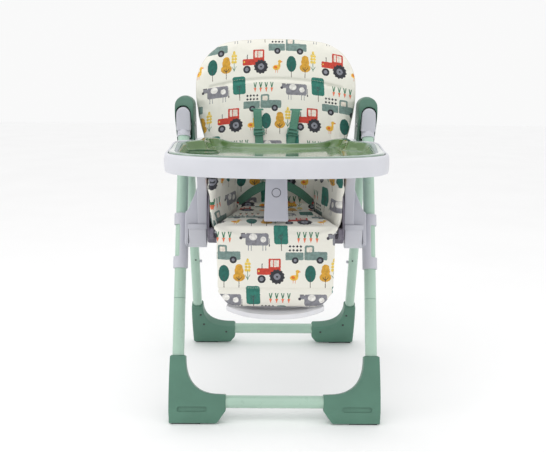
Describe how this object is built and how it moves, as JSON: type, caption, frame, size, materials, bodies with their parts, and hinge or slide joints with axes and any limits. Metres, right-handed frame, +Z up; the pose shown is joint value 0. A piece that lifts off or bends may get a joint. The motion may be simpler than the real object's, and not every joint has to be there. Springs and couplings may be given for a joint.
{
  "type": "baby high chair",
  "caption": "Folding baby high chair on an A-frame of steel tube with a height-sliding padded seat, reclining back, leg rest, harness and sliding tray.",
  "frame": {"origin": "middle of the footprint, on the floor", "axes": "+X the sitter's left, -Y the way the chair faces, +Z up"},
  "size_m": [0.6122, 0.8422, 1.0752],
  "materials": {
    "tube_paint": "satin pale green paint",
    "steel": "satin",
    "green_plastic": "fine-grained",
    "grey_plastic": "fine-grained",
    "dark_plastic": "fine-grained",
    "rubber": "matt",
    "printed_cloth": "wipe-clean woven cloth, off-white with a farm pattern",
    "webbing": "woven webbing",
    "clear_green": "translucent gloss"
  },
  "bodies": {
    "front_frame": {"front_leg_left": "tube_paint", "front_leg_right": "tube_paint", "front_foot_left": "green_plastic", "front_foot_right": "green_plastic", "front_cross_tube": "tube_paint", "front_foot_pad_left": "rubber", "front_foot_pad_right": "rubber", "front_leg_socket_left": "grey_plastic", "front_leg_socket_right": "grey_plastic", "hub_pin_left": "steel", "hub_pin_right": "steel"},
    "rear_frame": {"rear_leg_left": "tube_paint", "rear_leg_right": "tube_paint", "rear_foot_left": "green_plastic", "rear_foot_right": "green_plastic", "rear_cross_tube": "tube_paint", "rear_foot_pad_left": "rubber", "rear_foot_pad_right": "rubber", "hub_shell_left": "green_plastic", "hub_shell_right": "green_plastic", "tray_peg_left": "grey_plastic", "tray_peg_right": "grey_plastic"},
    "fold_button_left": {"fold_button_left": "grey_plastic"},
    "fold_button_right": {"fold_button_right": "grey_plastic"},
    "seat": {"height_slider_left": "grey_plastic", "height_slider_right": "grey_plastic", "armrest_left": "grey_plastic", "armrest_right": "grey_plastic", "seat_shell": "dark_plastic", "recline_rod": "steel", "leg_rest_rod": "steel", "seat_pad": "printed_cloth", "side_pad_left": "printed_cloth", "side_pad_right": "printed_cloth", "waist_strap_left": "webbing", "waist_strap_right": "webbing", "crotch_strap": "webbing", "harness_buckle": "dark_plastic"},
    "height_lever_left": {"height_lever_left": "dark_plastic"},
    "height_lever_right": {"height_lever_right": "dark_plastic"},
    "backrest": {"backrest_pad": "printed_cloth", "backrest_shell": "dark_plastic", "shoulder_strap_left": "webbing", "shoulder_strap_right": "webbing", "strap_adjuster_left": "dark_plastic", "strap_adjuster_right": "dark_plastic"},
    "recline_lever": {"recline_lever": "grey_plastic"},
    "leg_rest": {"leg_rest_panel": "grey_plastic", "calf_pad": "printed_cloth"},
    "footrest": {"footrest": "grey_plastic"},
    "leg_rest_button_left": {"leg_rest_button_left": "grey_plastic"},
    "leg_rest_button_right": {"leg_rest_button_right": "grey_plastic"},
    "tray": {"tray": "grey_plastic", "crotch_post": "grey_plastic"},
    "tray_release_left": {"tray_release_left": "dark_plastic"},
    "tray_release_right": {"tray_release_right": "dark_plastic"},
    "tray_insert": {"tray_insert": "clear_green"},
    "buckle_button": {"buckle_button": "green_plastic"}
  },
  "joints": [
    {"name": "frame_fold", "type": "hinge", "parent": "front_frame", "child": "rear_frame", "pos_m": [0, 0.052, 0.825], "axis": [-1, 0, 0], "range_deg": [0, 40]},
    {"name": "fold_button_left_press", "type": "slide", "parent": "rear_frame", "child": "fold_button_left", "axis": [-1, 0, 0], "range_m": [0, 0.002], "stiffness_N_per_m": 600},
    {"name": "fold_button_right_press", "type": "slide", "parent": "rear_frame", "child": "fold_button_right", "axis": [1, 0, 0], "range_m": [0, 0.002], "stiffness_N_per_m": 600},
    {"name": "seat_height", "type": "slide", "parent": "front_frame", "child": "seat", "axis": [0, 0.3551, 0.9348], "range_m": [-0.2, 0]},
    {"name": "height_lever_left_squeeze", "type": "slide", "parent": "seat", "child": "height_lever_left", "axis": [0, 0, 1], "range_m": [0, 0.007], "stiffness_N_per_m": 600},
    {"name": "height_lever_right_squeeze", "type": "slide", "parent": "seat", "child": "height_lever_right", "axis": [0, 0, 1], "range_m": [0, 0.007], "stiffness_N_per_m": 600},
    {"name": "backrest_recline", "type": "hinge", "parent": "seat", "child": "backrest", "pos_m": [0, 0.06, 0.56], "axis": [1, 0, 0], "range_deg": [-45, 0]},
    {"name": "recline_lever_squeeze", "type": "slide", "parent": "backrest", "child": "recline_lever", "axis": [0, 0.1564, 0.9877], "range_m": [0, 0.008], "stiffness_N_per_m": 600},
    {"name": "leg_rest_raise", "type": "hinge", "parent": "seat", "child": "leg_rest", "pos_m": [0, -0.225, 0.545], "axis": [1, 0, 0], "range_deg": [-65, 0]},
    {"name": "leg_rest_button_left_press", "type": "slide", "parent": "seat", "child": "leg_rest_button_left", "axis": [-1, 0, 0], "range_m": [0, 0.003], "stiffness_N_per_m": 600},
    {"name": "leg_rest_button_right_press", "type": "slide", "parent": "seat", "child": "leg_rest_button_right", "axis": [1, 0, 0], "range_m": [0, 0.003], "stiffness_N_per_m": 600},
    {"name": "footrest_slide", "type": "slide", "parent": "leg_rest", "child": "footrest", "axis": [0, 0, 1], "range_m": [-0.04, 0]},
    {"name": "tray_slide", "type": "slide", "parent": "seat", "child": "tray", "axis": [0, 1, 0], "range_m": [-0.06, 0]},
    {"name": "tray_release_left_press", "type": "slide", "parent": "tray", "child": "tray_release_left", "axis": [-1, 0, 0], "range_m": [0, 0.005], "stiffness_N_per_m": 600},
    {"name": "tray_release_right_press", "type": "slide", "parent": "tray", "child": "tray_release_right", "axis": [1, 0, 0], "range_m": [0, 0.005], "stiffness_N_per_m": 600},
    {"name": "insert_lift", "type": "slide", "parent": "tray", "child": "tray_insert", "axis": [0, 0, 1], "range_m": [0, 0.06]},
    {"name": "buckle_press", "type": "slide", "parent": "seat", "child": "buckle_button", "axis": [0, 1, 0], "range_m": [0, 0.003], "stiffness_N_per_m": 600}
  ]
}
